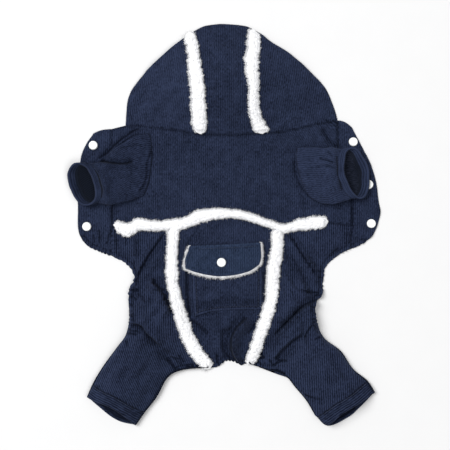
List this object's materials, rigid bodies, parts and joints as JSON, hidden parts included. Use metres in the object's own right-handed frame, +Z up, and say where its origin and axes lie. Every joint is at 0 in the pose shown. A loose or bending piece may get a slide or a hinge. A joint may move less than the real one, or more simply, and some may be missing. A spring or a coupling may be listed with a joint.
{
  "type": "dog jumpsuit",
  "caption": "Corduroy dog jumpsuit lying flat, back up: hood, spread belly bands with snaps, open sleeves and hind legs, fleece strips and a snapped flap pocket.",
  "frame": {"origin": "middle of the footprint, on the surface that the jumpsuit lies on", "axes": "+X across the garment to the right as seen from above with the hood away, +Y along the back towards the hood, +Z up out of the surface"},
  "size_m": [0.3726, 0.4782, 0.0247],
  "materials": {
    "corduroy": "fine-wale navy corduroy, soft and matt",
    "fleece": "white fleece pile with fuzzy edges",
    "snap_plastic": "smooth white plastic, slightly glossy"
  },
  "bodies": {
    "root": {"hood_centre": "corduroy", "hood_side_left": "corduroy", "hood_side_right": "corduroy", "yoke": "corduroy", "belly_band_left": "corduroy", "belly_band_right": "corduroy", "back_panel": "corduroy", "leg_left": "corduroy", "leg_right": "corduroy", "sleeve_left": "corduroy", "sleeve_right": "corduroy", "trim_hood_left": "fleece", "trim_hood_right": "fleece", "trim_yoke": "fleece", "trim_back_left": "fleece", "trim_back_right": "fleece", "pocket_pouch": "corduroy", "pocket_flap_edging": "fleece", "pocket_flap": "corduroy", "snap_left_top": "snap_plastic", "snap_left_middle": "snap_plastic", "snap_left_bottom": "snap_plastic", "snap_right_top": "snap_plastic", "snap_right_middle": "snap_plastic", "snap_right_bottom": "snap_plastic", "pocket_snap": "snap_plastic"}
  },
  "joints": []
}
